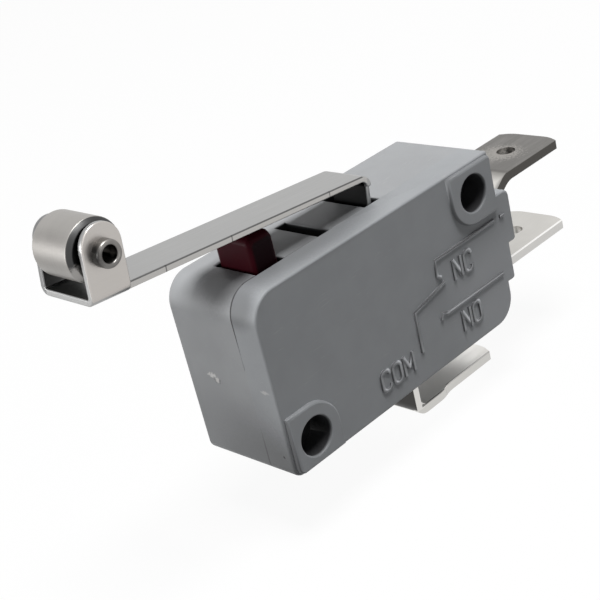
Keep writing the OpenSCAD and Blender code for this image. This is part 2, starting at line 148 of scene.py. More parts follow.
class Graph:
    """Adds, sets and links the nodes of one node tree."""

    def __init__(self, tree: bpy.types.NodeTree) -> None:
        """Keep the tree that the nodes go into."""
        self.tree = tree

    def add(self, kind: str, inputs: dict[Any, Any] | None = None, **settings: Any) -> Node:
        """Add one node.

        Args:
            kind: Blender's identifier of the node.
            inputs: Values or sockets for the node's inputs, by name or index.
            settings: Properties of the node itself.

        Returns:
            The new node.
        """
        node = self.tree.nodes.new(kind)
        for key, value in settings.items():
            setattr(node, key, value)
        for key, value in (inputs or {}).items():
            if isinstance(value, Socket):
                self.tree.links.new(value, node.inputs[key])
            else:
                node.inputs[key].default_value = value
        return node

    def math(self, operation: str, first: Any, second: Any = 0.0) -> Socket:
        """Return the result of a Math node."""
        return self.add("ShaderNodeMath", {0: first, 1: second}, operation=operation).outputs[0]

    def vector(self, operation: str, first: Any, second: Any) -> Node:
        """Return a Vector Math node."""
        return self.add("ShaderNodeVectorMath", {0: first, 1: second}, operation=operation)

    def noise(self, place: Socket, scale: Any, detail: float, roughness: float = 0.5) -> Socket:
        """Return the value of a Noise Texture node."""
        inputs = {"Vector": place, "Scale": scale, "Detail": detail, "Roughness": roughness}
        return self.add("ShaderNodeTexNoise", inputs).outputs["Fac"]

    def ramp(self, value: Any, low: float, high: float, to_low: float = 0.0,
             to_high: float = 1.0) -> Socket:
        """Take a value smoothly from one range to another.

        Args:
            value: The value or its socket.
            low: Start of the range that it comes from.
            high: End of the range that it comes from.
            to_low: Result at the start.
            to_high: Result at the end.

        Returns:
            The result.
        """
        inputs = {"Value": value, "From Min": low, "From Max": high, "To Min": to_low,
                  "To Max": to_high}
        node = self.add("ShaderNodeMapRange", inputs, interpolation_type="SMOOTHSTEP")
        return node.outputs["Result"]

    def blend(self, factor: Any, first: Any, second: Any) -> Socket:
        """Mix two colours.

        Args:
            factor: Share of the second colour, as a number or a socket.
            first: A colour or its socket.
            second: A colour or its socket.

        Returns:
            The mixed colour.
        """
        node = self.add("ShaderNodeMix", data_type="RGBA", blend_type="MIX")
        colours = [socket for socket in node.inputs if socket.type == "RGBA"]
        for socket, value in zip((node.inputs[0], *colours), (factor, first, second)):
            if isinstance(value, Socket):
                self.tree.links.new(value, socket)
            elif isinstance(value, float):
                socket.default_value = value
            else:
                socket.default_value = (*value, 1.0)
        return next(socket for socket in node.outputs if socket.type == "RGBA")


class Effect(Enum):
    """Shader node groups that several finishes share."""

    GRAIN = "moulded_grain"
    STREAKS = "rolled_streaks"
    SCRATCHES = "fine_scratches"
    SPOT = "wear_spot"
    RECESS = "recess_grime"


class EffectLibrary:
    """Builds each shared shader group once; all of them work on positions in millimetres."""

    def __init__(self) -> None:
        """Build the groups."""
        self.trees: dict[Effect, bpy.types.NodeTree] = {}
        self._grain()
        self._streaks()
        self._scratches()
        self._spot()
        self._recess()

    def place(self, graph: Graph, effect: Effect, **inputs: Any) -> Node:
        """Place a group in a material, with values or sockets by input name."""
        return graph.add("ShaderNodeGroup", inputs, node_tree=self.trees[effect])

    def _start(self, effect: Effect, inputs: dict[str, str],
               outputs: Sequence[str]) -> tuple[Graph, Node, Node]:
        """Open a group with its sockets.

        Args:
            effect: The group's name.
            inputs: Socket kind by input name, either Vector or Float.
            outputs: Names of the value outputs.

        Returns:
            The group's graph, its input node and its output node.
        """
        tree = bpy.data.node_groups.new(effect.value, "ShaderNodeTree")
        for name, kind in inputs.items():
            tree.interface.new_socket(name=name, in_out="INPUT", socket_type=f"NodeSocket{kind}")
        for name in outputs:
            tree.interface.new_socket(name=name, in_out="OUTPUT", socket_type="NodeSocketFloat")
        self.trees[effect] = tree
        graph = Graph(tree)
        return graph, graph.add("NodeGroupInput"), graph.add("NodeGroupOutput")

    def _grain(self) -> None:
        """Spark-eroded grain of a mould with a slow change of tone over it."""
        graph, given, result = self._start(
            Effect.GRAIN, {"Position": "Vector", "Grain": "Float", "Mottle": "Float"},
            ("Height", "Tone"))
        place = given.outputs["Position"]
        fine = graph.noise(place, given.outputs["Grain"], detail=3.0, roughness=0.6)
        slow = graph.noise(place, given.outputs["Mottle"], detail=4.0)
        graph.tree.links.new(fine, result.inputs["Height"])
        graph.tree.links.new(graph.ramp(slow, low=0.3, high=0.7), result.inputs["Tone"])

    def _streaks(self) -> None:
        """Long fine lines that rolling, stamping or turning leaves in metal."""
        graph, given, result = self._start(
            Effect.STREAKS, {"Position": "Vector", "Stretch": "Vector"}, ("Height", "Tone"))
        place, stretch = given.outputs["Position"], given.outputs["Stretch"]
        drawn = graph.vector("MULTIPLY", place, stretch).outputs[0]
        lines = graph.noise(drawn, scale=1.0, detail=6.0, roughness=0.65)
        bands = graph.noise(drawn, scale=0.17, detail=2.0)
        graph.tree.links.new(lines, result.inputs["Height"])
        graph.tree.links.new(graph.ramp(bands, low=0.3, high=0.7), result.inputs["Tone"])

    def _scratches(self) -> None:
        """Sparse short scratches along one direction, broken up by a slow noise."""
        graph, given, result = self._start(
            Effect.SCRATCHES, {"Position": "Vector", "Stretch": "Vector", "Cover": "Float"},
            ("Mask",))
        place, stretch = given.outputs["Position"], given.outputs["Stretch"]
        drawn = graph.vector("MULTIPLY", place, stretch).outputs[0]
        lines = graph.noise(drawn, scale=1.0, detail=2.0)
        parts = graph.noise(place, scale=0.45, detail=3.0)
        edge = graph.math("SUBTRACT", 1.0, given.outputs["Cover"])
        line = graph.ramp(graph.math("SUBTRACT", lines, edge), low=0.0, high=0.05)
        part = graph.ramp(parts, low=0.45, high=0.6)
        graph.tree.links.new(graph.math("MULTIPLY", line, part), result.inputs["Mask"])

    def _spot(self) -> None:
        """One ragged mark round a centre, for wear, painted shade and painted highlights."""
        graph, given, result = self._start(
            Effect.SPOT, {"Position": "Vector", "Centre": "Vector", "Reach": "Vector",
                          "Ragged": "Float"}, ("Mask",))
        place = given.outputs["Position"]
        away = graph.vector("SUBTRACT", place, given.outputs["Centre"]).outputs[0]
        share = graph.vector("DIVIDE", away, given.outputs["Reach"]).outputs[0]
        length = graph.add("ShaderNodeVectorMath", {0: share}, operation="LENGTH").outputs["Value"]
        noise = graph.math("SUBTRACT", graph.noise(place, scale=5.0, detail=3.0), 0.5)
        torn = graph.math("MULTIPLY", noise, given.outputs["Ragged"])
        mask = graph.ramp(graph.math("ADD", length, torn), low=1.0, high=0.4)
        graph.tree.links.new(mask, result.inputs["Mask"])

    def _recess(self) -> None:
        """A tone in a box, growing from its faces inwards, for painted shade, highlights and marks.
        """
        graph, given, result = self._start(
            Effect.RECESS, {"Position": "Vector", "Low": "Vector", "High": "Vector",
                            "Fade": "Float"}, ("Mask",))
        place = given.outputs["Position"]
        over = graph.vector("SUBTRACT", place, given.outputs["Low"]).outputs[0]
        under = graph.vector("SUBTRACT", given.outputs["High"], place).outputs[0]
        near = graph.vector("MINIMUM", over, under).outputs[0]
        x, y, z = graph.add("ShaderNodeSeparateXYZ", {0: near}).outputs
        least = graph.math("MINIMUM", graph.math("MINIMUM", x, y), z)
        share = graph.math("DIVIDE", least, given.outputs["Fade"])
        graph.tree.links.new(graph.ramp(share, low=0.0, high=1.0), result.inputs["Mask"])


def open_material(name: str) -> tuple[bpy.types.Material, Graph, Node, Socket]:
    """Start a material with a Principled shader.

    Args:
        name: The material's name.

    Returns:
        The material, its graph, the shader and the position in millimetres.
    """
    material = bpy.data.materials.new(name)
    material.use_nodes = True
    graph = Graph(material.node_tree)
    shader = material.node_tree.nodes["Principled BSDF"]
    place = graph.add("ShaderNodeTexCoord").outputs["Object"]
    scaled = graph.vector("MULTIPLY", place, (1 / MM, 1 / MM, 1 / MM)).outputs[0]
    return material, graph, shader, scaled


def emboss(graph: Graph, shader: Node, height: Socket, strength: float, depth: float) -> None:
    """Bend the shading normal by a height.

    Args:
        graph: The material's graph.
        shader: The shader that takes the normal.
        height: The height socket.
        strength: Strength of the bump.
        depth: Depth of a full height step in millimetres.
    """
    inputs = {"Height": height, "Strength": strength, "Distance": depth * MM}
    bump = graph.add("ShaderNodeBump", inputs)
    graph.tree.links.new(bump.outputs["Normal"], shader.inputs["Normal"])


@dataclass(frozen=True)
class Spot:
    """One ragged mark round a centre, used for wear, painted shade and painted highlights."""

    centre: Point
    reach: Point
    colour: Colour
    ragged: float = 1.2

    def lay(self, graph: Graph, effects: EffectLibrary, place: Socket, base: Socket) -> Socket:
        """Return the base colour with the mark on it."""
        mark = effects.place(graph, Effect.SPOT, Position=place, Centre=self.centre,
                             Reach=self.reach, Ragged=self.ragged)
        return graph.blend(mark.outputs["Mask"], base, self.colour)


@dataclass(frozen=True)
class Patch:
    """A box whose inside has another tone, which grows from the box's faces inwards."""

    low: Point
    high: Point
    fade: float
    colour: Colour = PAINTED_DEEP_SHADE
    share: float = 1.0

    def lay(self, graph: Graph, effects: EffectLibrary, place: Socket, base: Socket) -> Socket:
        """Lay the box's tone over a colour.

        Args:
            graph: The material's graph.
            effects: The shared shader groups.
            place: The position in millimetres.
            base: The colour below.

        Returns:
            The colour with the tone in it.
        """
        deep = effects.place(graph, Effect.RECESS, Position=place, Low=self.low, High=self.high,
                             Fade=self.fade)
        mask = graph.math("MULTIPLY", deep.outputs["Mask"], self.share)
        return graph.blend(mask, base, self.colour)


@dataclass(frozen=True)
class Lee:
    """Shade on the lee sides of raised details in front of a face."""

    face: float
    way: Point
    colour: Colour
    share: float
    rise: float = 0.03
    turn: tuple[float, float] = (0.1, 0.55)

    def lay(self, graph: Graph, effects: EffectLibrary, place: Socket, base: Socket) -> Socket:
        """Shade the sides that look the lee way.

        Args:
            graph: The material's graph.
            effects: The shared shader groups, which this mark needs none of.
            place: The position in millimetres.
            base: The colour below.

        Returns:
            The colour with the lee sides shaded.
        """
        normal = graph.add("ShaderNodeNewGeometry").outputs["Normal"]
        side = graph.vector("DOT_PRODUCT", normal, self.way).outputs["Value"]
        depth = graph.add("ShaderNodeSeparateXYZ", {0: place}).outputs["Y"]
        raised = graph.ramp(depth, self.face, self.face - self.rise)
        mask = graph.math("MULTIPLY", graph.ramp(side, *self.turn), raised)
        return graph.blend(graph.math("MULTIPLY", mask, self.share), base, self.colour)


Mark = Spot | Patch | Lee


def hole_painted_shade(hole: Place, half: float, front: float, back: float, fade: float = 0.3) -> Patch:
    """Return the painted shade of a mounting hole in a square zone between two depths."""
    x, z = hole
    return Patch((x - half, front, z - half), (x + half, back, z + half), fade)


def edge_nick(along: float, half: float = 0.08, fade: float = 0.06, share: float = 0.7) -> Patch:
    """Return a dark nick across the lever's front cut edge."""
    return Patch((along - half, -2.4, 2.4), (along + half, -2.0, 3.3), fade, CREASE, share)


@dataclass(frozen=True)
class MouldedPlastic:
    """Moulded plastic with eroded grain, a slow mottle, fine scratches and single marks."""

    name: str
    colour: Colour
    shade: Colour
    scratch: Colour
    roughness: float
    grain_depth: float
    marks: tuple[Mark, ...] = ()
    gloss: float = 0.3
    grain: float = 7.0
    mottle: float = 0.35
    scratch_run: Point = (0.6, 5.0, 9.0)
    scratch_cover: float = 0.34
    scratch_share: float = 0.3
    swing: float = 0.06
    bump: float = 0.25

    def build(self, effects: EffectLibrary) -> bpy.types.Material:
        """Build the material.

        Args:
            effects: The shared shader groups.

        Returns:
            The material.
        """
        material, graph, shader, place = open_material(self.name)
        grain = effects.place(graph, Effect.GRAIN, Position=place, Grain=self.grain,
                              Mottle=self.mottle)
        base = graph.blend(grain.outputs["Tone"], self.shade, self.colour)
        scratch = effects.place(graph, Effect.SCRATCHES, Position=place,
                                Stretch=self.scratch_run, Cover=self.scratch_cover)
        seen = graph.math("MULTIPLY", scratch.outputs["Mask"], self.scratch_share)
        base = graph.blend(seen, base, self.scratch)
        for mark in self.marks:
            base = mark.lay(graph, effects, place, base)
        graph.tree.links.new(base, shader.inputs["Base Color"])
        rough = graph.ramp(grain.outputs["Height"], low=0.2, high=0.8,
                           to_low=self.roughness - self.swing, to_high=self.roughness + self.swing)
        graph.tree.links.new(rough, shader.inputs["Roughness"])
        shader.inputs["Specular IOR Level"].default_value = self.gloss
        emboss(graph, shader, grain.outputs["Height"], self.bump, self.grain_depth)
        return material


@dataclass(frozen=True)
class PlatedMetal:
    """Plated metal with drawn lines, a slow change of tone, fine scratches and single marks.

    The marks and lines lie in the piece's own axes, which a pivot and a lean about Y describe.
    """

    name: str
    colour: Colour
    shade: Colour
    roughness: float
    stretch: Point
    line_depth: float = 0.004
    scratch: float = 0.25
    marks: tuple[Mark, ...] = ()
    pivot: Point = (0.0, 0.0, 0.0)
    lean: float = 0.0
    mottle: float = 0.3
    scratch_run: Point = (1.5, 8.0, 8.0)
    scratch_cover: float = 0.36
    scratch_light: float = 1.15
    swing: tuple[float, float] = (-0.05, 0.07)
    bump: float = 0.2

    def build(self, effects: EffectLibrary) -> bpy.types.Material:
        """Build the material.

        Args:
            effects: The shared shader groups.

        Returns:
            The material.
        """
        material, graph, shader, place = open_material(self.name)
        inputs = {"Vector": place, "Center": self.pivot, "Angle": -math.radians(self.lean)}
        turned = graph.add("ShaderNodeVectorRotate", inputs, rotation_type="Y_AXIS")
        place = graph.vector("SUBTRACT", turned.outputs[0], self.pivot).outputs[0]
        lines = effects.place(graph, Effect.STREAKS, Position=place, Stretch=self.stretch)
        cloud = effects.place(graph, Effect.GRAIN, Position=place, Mottle=self.mottle)
        tone = graph.math("MULTIPLY", lines.outputs["Tone"], cloud.outputs["Tone"])
        base = graph.blend(tone, self.shade, self.colour)
        scratch = effects.place(graph, Effect.SCRATCHES, Position=place,
                                Stretch=self.scratch_run, Cover=self.scratch_cover)
        seen = graph.math("MULTIPLY", scratch.outputs["Mask"], self.scratch)
        bright = tuple(min(1.0, self.scratch_light * part) for part in self.colour)
        base = graph.blend(seen, base, bright)
        for mark in self.marks:
            base = mark.lay(graph, effects, place, base)
        graph.tree.links.new(base, shader.inputs["Base Color"])
        shader.inputs["Metallic"].default_value = 1.0
        less, more = self.swing
        rough = graph.ramp(lines.outputs["Height"], low=0.25, high=0.75,
                           to_low=self.roughness + less, to_high=self.roughness + more)
        graph.tree.links.new(rough, shader.inputs["Roughness"])
        emboss(graph, shader, lines.outputs["Height"], self.bump, self.line_depth)
        return material


class Finishes:
    """All finishes of the switch, each built at its first use."""

    # Soft shade on top of the case and of the cover, under the lever.
    CASE_TOP = (
        Spot((-0.7, -0.3, 12.6), (3.0, 3.6, 3.4), (0.145, 0.147, 0.151), 0.12),
        Spot((8.5, -2.2, 13.3), (7.5, 1.6, 2.0), SOFT_SHADE, 0.12),
    )
    COVER_TOP = (
        Spot((5.0, -1.5, 13.5), (13.0, 4.5, 2.2), (0.165, 0.17, 0.177), 0.12),
        Spot((-2.0, -2.6, 11.6), (2.2, 2.4, 2.2), (0.19, 0.196, 0.203), 0.12),
    )
    # The left end: shade at its foot, scuffs, a dot, and the parting line above and below.
    LEFT_END = (
        Spot((-2.65, -1.9, -4.0), (0.8, 7.5, 8.5), SOFT_SHADE, 0.12),
        Spot((-2.65, 1.6, 4.75), (0.5, 0.5, 0.3), (0.12, 0.12, 0.12), 2.5),
        Spot((-2.65, 2.2, 5.15), (0.5, 0.6, 0.28), SCUFF, 1.8),
        Spot((-2.65, 1.65, 4.8), (0.5, 0.32, 0.34), SCUFF, 1.5),
        Spot((-2.65, -3.7, 4.95), (0.5, 0.62, 0.2), (0.50, 0.50, 0.50)),
        Spot((-2.65, -3.98, -0.68), (0.4, 0.16, 0.16), (0.03, 0.03, 0.03), 0.5),
        Spot((-1.5, -2.05, 11.8), (10.0, 0.11, 4.6), (0.08, 0.08, 0.083), 0.25),
        Spot((-2.6, -2.05, -2.2), (3.0, 0.12, 4.2), (0.05, 0.05, 0.052), 0.25),
    )
    # The front: painted shade on the pads' lee and upper sides, painted light at the right end and
    # painted shade at the low left.
    FRONT = (
        Lee(COVER_FACE, (-0.85, 0.0, -0.5), (0.05, 0.05, 0.053), 0.5),
        Lee(COVER_FACE, (-0.35, 0.0, 0.94), (0.12, 0.123, 0.128), 0.6),
        Spot((24.0, COVER_FACE, 0.5), (8.0, 0.6, 7.0), (0.39, 0.402, 0.418), 0.1),
        Patch((-14.0, COVER_FACE, -14.0), (3.0, 14.0, 6.5), 6.0, (0.20, 0.205, 0.211), 0.6),
    )
    # Painted shade in the mounting holes and their rims, and in the slots in the top.
    RECESSES = (
        hole_painted_shade(HOLES[0], half=2.5, front=-4.7, back=4.85),
        hole_painted_shade(HOLES[0], half=1.9, front=-5.1, back=-4.0),
        hole_painted_shade(HOLES[1], half=2.5, front=-4.7, back=4.85),
        hole_painted_shade(HOLES[1], half=1.9, front=-5.1, back=-4.0),
        Patch((0.4, -2.3, 3.0), (15.2, 4.6, 12.86), 0.25, (0.012, 0.012, 0.013)),
    )
    GREY = MouldedPlastic(
        "grey_moulded_plastic", colour=(0.335, 0.342, 0.352), shade=(0.315, 0.322, 0.331),
        scratch=(0.45, 0.45, 0.45), roughness=0.52, grain_depth=0.012,
        marks=CASE_TOP + LEFT_END + FRONT + RECESSES)
    # The cover's grey is a slightly bluer copy, standing in for cooler light on the front face.
    COVER = replace(
        GREY, name="grey_cover_plastic", colour=(0.334, 0.345, 0.359),
        shade=(0.314, 0.325, 0.338), marks=COVER_TOP + LEFT_END + FRONT + RECESSES)
    # The raised letters and lines, paler than the cover, with painted shade on their upper left
    # sides.
    MARKS = replace(
        GREY, name="grey_mark_plastic", colour=(0.47, 0.482, 0.50), shade=(0.46, 0.472, 0.49),
        marks=(Lee(COVER_FACE, (-0.7, 0.0, 0.7), PAINTED_DEEP_SHADE, 0.87),))
    # The button's front is darkened by a painted shadow of the lever.
    RED = MouldedPlastic(
        "dark_red_plastic", colour=(0.038, 0.0026, 0.006), shade=(0.028, 0.002, 0.005),
        scratch=(0.06, 0.008, 0.014), roughness=0.42, grain_depth=0.006, gloss=0.05,
        marks=(Patch((0.4, -2.1, 11.0), (4.0, -1.6, 15.6), 0.12, (0.006, 0.001, 0.002)),))
    # Painted light on the near ear and painted shade on the far ear, the front cut edge and the
    # dark
    # # line along it, three nicks in it, and painted shade on the tail's broad faces and in the
    # fork.
    SHEET = PlatedMetal(
        "nickel_sheet", colour=(0.365, 0.365, 0.362), shade=(0.35, 0.35, 0.347), roughness=0.34,
        stretch=(0.25, 9.0, 9.0), line_depth=0.0003, scratch=0.05, pivot=LEVER_HINGE,
        lean=LEVER_SLOPE, marks=(
            Patch((-28.5, -3.2, 2.3), (-23.9, -2.68, 9.0), 0.08, (0.50, 0.475, 0.45)),
            Patch((-28.5, 2.6, 2.3), (-23.9, 3.6, 9.0), 0.05, (0.22, 0.22, 0.22)),
            Patch((-24.4, -2.4, 2.4), (-0.2, -2.12, 3.02), 0.02, (0.44, 0.43, 0.415)),
            Patch((-24.3, -2.3, 2.99), (-0.6, -2.03, 3.3), 0.03, (0.03, 0.03, 0.03), 0.7),
            edge_nick(-4.4), edge_nick(-14.57), edge_nick(-20.79),
            Patch((-0.9, -1.88, -2.6), (0.0, 2.6, 2.62), 0.06, (0.01, 0.01, 0.01)),
            Patch((-27.8, -2.33, 3.05), (-24.2, 2.73, 9.0), 0.1, (0.015, 0.015, 0.015))))
    # Painted shade on the left side, on the near end in two dark tones and on the far end, and a
    # painted highlight by the near rim.
    TURNED = PlatedMetal(
        "turned_nickel", colour=(0.35, 0.338, 0.323), shade=(0.33, 0.319, 0.304),
        roughness=0.44, stretch=(0.2, 6.0, 0.2), line_depth=0.0006, scratch=0.06, marks=(
            Spot((-14.0, 0.2, 21.4), (1.8, 4.5, 1.9), (0.262, 0.252, 0.24), 0.15),
            Patch((-16.0, -3.0, 16.0), (-7.0, -1.7, 25.0), 0.05, (0.06, 0.06, 0.06)),
            Patch((-16.0, -3.0, 16.0), (-7.0, -2.0, 25.0), 0.05, (0.008, 0.008, 0.008)),
            Patch((-16.0, 2.1, 16.0), (-7.0, 3.0, 25.0), 0.05, (0.06, 0.06, 0.06)),
            Spot((-13.5, -1.9, 19.7), (0.9, 0.45, 1.1), (0.30, 0.29, 0.28), 0.8)))
    # Painted shade in the hollow end and on its left side, and a painted highlight.
    RIVET = PlatedMetal(
        "rivet_steel", colour=(0.27, 0.257, 0.243), shade=(0.17, 0.163, 0.156), roughness=0.34,
        stretch=(4.0, 4.0, 4.0), marks=(
            Patch((-12.2, -3.5, 20.2), (-11.1, -1.0, 21.3), 0.1, (0.02, 0.02, 0.02)),
            Spot((-12.6, -3.1, 20.9), (1.0, 0.7, 1.3), (0.02, 0.02, 0.02), 0.2),
            Spot((-11.3, -3.0, 20.6), (0.45, 0.4, 0.4), (0.45, 0.43, 0.40), 0.3)))
    # The front cut edge and a painted highlight along the edge over it.
    TIN = PlatedMetal(
        "tinned_brass", colour=(0.64, 0.625, 0.595), shade=(0.60, 0.585, 0.555), roughness=0.32,
        stretch=(0.3, 4.0, 4.0), line_depth=0.0004, scratch=0.05, marks=(
            Patch((25.0, -3.4, 0.2), (37.0, -3.07, 1.46), 0.03, (0.58, 0.57, 0.55)),
            Patch((25.0, -3.2, 1.4), (35.6, -2.98, 1.7), 0.04, (0.95, 0.94, 0.92))))
    # Painted shade on the leg's left side, the tab's and the leg's front cut edges and two dark
    # lines along the tab. The colour is painted paler than the other tinned terminals', standing in
    # for light on it.
    COMMON_TIN = PlatedMetal(
        "tinned_brass_below", colour=(0.92, 0.908, 0.88), shade=(0.89, 0.878, 0.85),
        roughness=0.34, stretch=(0.3, 4.0, 4.0), line_depth=0.0004, scratch=0.05, marks=(
            Patch((11.9, -4.0, -7.0), (12.5, 4.0, -1.0), 0.12, (0.05, 0.048, 0.046)),
            Patch((12.3, -3.7, -6.6), (23.5, -3.07, -5.42), 0.03, (0.58, 0.57, 0.545)),
            Patch((12.35, -3.9, -5.6), (13.3, -3.2, -2.0), 0.03, (0.66, 0.648, 0.622)),
            Patch((13.0, -3.6, -5.5), (16.2, -3.38, -5.2), 0.04, (0.05, 0.05, 0.048), 0.8),
            Patch((16.6, -3.25, -5.5), (22.8, -3.03, -5.2), 0.04, (0.05, 0.05, 0.048), 0.45)))
    # A painted highlight on the bent root, a cloud on the tab and the dark front cut edge.
    DULL_TIN = PlatedMetal(
        "dulled_tinned_brass", colour=(0.215, 0.206, 0.196), shade=(0.15, 0.144, 0.135),
        roughness=0.38, stretch=(0.5, 4.0, 4.0), line_depth=0.003, marks=(
            Patch((26.0, -3.4, 5.5), (29.2, 3.4, 9.2), 0.9, (0.72, 0.70, 0.665), 0.9),
            Spot((32.6, 0.2, 9.0), (2.0, 2.4, 1.0), (0.31, 0.295, 0.275), 2.4),
            Patch((25.0, -3.4, 5.5), (37.2, -3.07, 8.98), 0.04, (0.07, 0.066, 0.06))))
    COPPER = PlatedMetal(
        "bare_copper_alloy", colour=(0.72, 0.45, 0.30), shade=(0.60, 0.36, 0.23),
        roughness=0.32, stretch=(0.3, 8.0, 8.0))
    SILVER = PlatedMetal(
        "contact_silver", colour=(0.85, 0.85, 0.86), shade=(0.74, 0.74, 0.75), roughness=0.25,
        stretch=(5.0, 5.0, 5.0))
    WIRE = PlatedMetal(
        "drawn_spring_wire", colour=(0.62, 0.62, 0.63), shade=(0.50, 0.50, 0.51),
        roughness=0.24, stretch=(5.0, 5.0, 5.0))

    def __init__(self, effects: EffectLibrary) -> None:
        """Keep the shared groups that the finishes are built with."""
        self.effects = effects
        self.made: dict[str, bpy.types.Material] = {}

    def get(self, finish: MouldedPlastic | PlatedMetal) -> bpy.types.Material:
        """Look up a finish's material, and build it at its first use.

        Args:
            finish: The finish.

        Returns:
            Its material.
        """
        if finish.name not in self.made:
            self.made[finish.name] = finish.build(self.effects)
        return self.made[finish.name]


@dataclass(frozen=True)
class Edge:
    """One edge of a solid as a rounding rule sees it."""

    middle: Vector
    along: Vector
    normals: tuple[Vector, Vector]
    turn: float
    convex: bool


RoundingRule = Callable[[Edge], float]


@dataclass(frozen=True)
class Cut:
    """A plane that splits faces with holes, so that no face is a ring."""

    point: Point
    normal: Point


def merged_copy(node: str, name: str, *cuts: Cut) -> Piece:
    """Copy a CAD node into an object of its own, with shared corners and whole flat faces.

    Args:
        node: The CAD node.
        name: Name of the new piece.
        cuts: Planes through the holes of its flat faces.

    Returns:
        The new object, at the origin.
    """
    mesh = bpy.data.meshes.new(name)
    work = bmesh.new()
    work.from_mesh(bpy.data.objects[NODES[node]].data)
    bmesh.ops.remove_doubles(work, verts=work.verts, dist=MERGE)
    for cut in cuts:
        whole = [*work.verts, *work.edges, *work.faces]
        split = bmesh.ops.bisect_plane(work, geom=whole, dist=MERGE / 2,
                                       plane_co=Vector(cut.point) * MM, plane_no=cut.normal)
        for part in split["geom_cut"]:
            if isinstance(part, bmesh.types.BMEdge):
                part.seam = True
    bmesh.ops.dissolve_limit(work, angle_limit=math.radians(FLAT_TURN), verts=work.verts,
                             edges=work.edges, delimit={"SEAM"})
    work.to_mesh(mesh)
    work.free()
    made = bpy.data.objects.new(name, mesh)
    bpy.context.scene.collection.objects.link(made)
    return made


def settle(made: Piece) -> None:
    """Turn an object with modifiers into a plain mesh at the origin.

    Args:
        made: The object.
    """
    bpy.context.view_layer.update()
    graph = bpy.context.evaluated_depsgraph_get()
    mesh = bpy.data.meshes.new_from_object(made.evaluated_get(graph))
    made.modifiers.clear()
    made.data = mesh
    mesh.name = made.name


def round_edges(made: Piece, rule: RoundingRule, segments: int = 3, crease: float = 40.0) -> None:
    """Round the edges that a rule picks, each by its own width.

    Args:
        made: The object, from merged_copy.
        rule: Gives the width of the rounding for an edge, or 0.
        segments: Strips across each rounding.
        crease: Turn past which an unrounded edge stays sharp in the shading.
    """
    work = bmesh.new()
    work.from_mesh(made.data)
    work.normal_update()
    layer = work.edges.layers.float.new("bevel_weight_edge")
    widths: dict[int, float] = {}
    for edge in work.edges:
        if len(edge.link_faces) != 2:
            continue
        turn = math.degrees(edge.calc_face_angle(0.0))
        if turn < EDGE_TURN:
            continue
        first, second = edge.verts
        normals = (edge.link_faces[0].normal.copy(), edge.link_faces[1].normal.copy())
        view = Edge((first.co + second.co) / 2 / MM, (second.co - first.co).normalized(),
                    normals, turn, edge.is_convex)
        widths[edge.index] = rule(view)
    widest = max(widths.values(), default=0.0)
    if widest > 0.0:
        for edge in work.edges:
            edge[layer] = widths.get(edge.index, 0.0) / widest
    work.to_mesh(made.data)
    work.free()
    if widest > 0.0:
        bevel = made.modifiers.new("rounding", "BEVEL")
        bevel.limit_method = "WEIGHT"
        bevel.width = widest * MM
        bevel.segments = segments
        bevel.use_clamp_overlap = False
        bevel.miter_outer = "MITER_SHARP"
        settle(made)
    made.data.shade_smooth()
    made.data.set_sharp_from_angle(angle=math.radians(crease))
    made.modifiers.new("flat_faces_first", "WEIGHTED_NORMAL").keep_sharp = True
    settle(made)


def unrounded(edge: Edge) -> float:
    """Leave an edge as it is."""
    return 0.0


def dress(made: Piece, material: bpy.types.Material, body: Body, slot: Slot, *nodes: str) -> None:
    """Finish a piece: its material, its body and the CAD nodes that it stands for.

    Args:
        made: The piece.
        material: Its finish.
        body: The body that it rides on.
        slot: The record's material slot; not used.
        nodes: CAD nodes that it replaces.
    """
    made.data.materials.clear()
    made.data.materials.append(material)
    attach(made, body.value)
    if nodes:
        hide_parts(*nodes)
    LOG.info("%s rides on %s, %d faces", made.name, body.value, len(made.data.polygons))


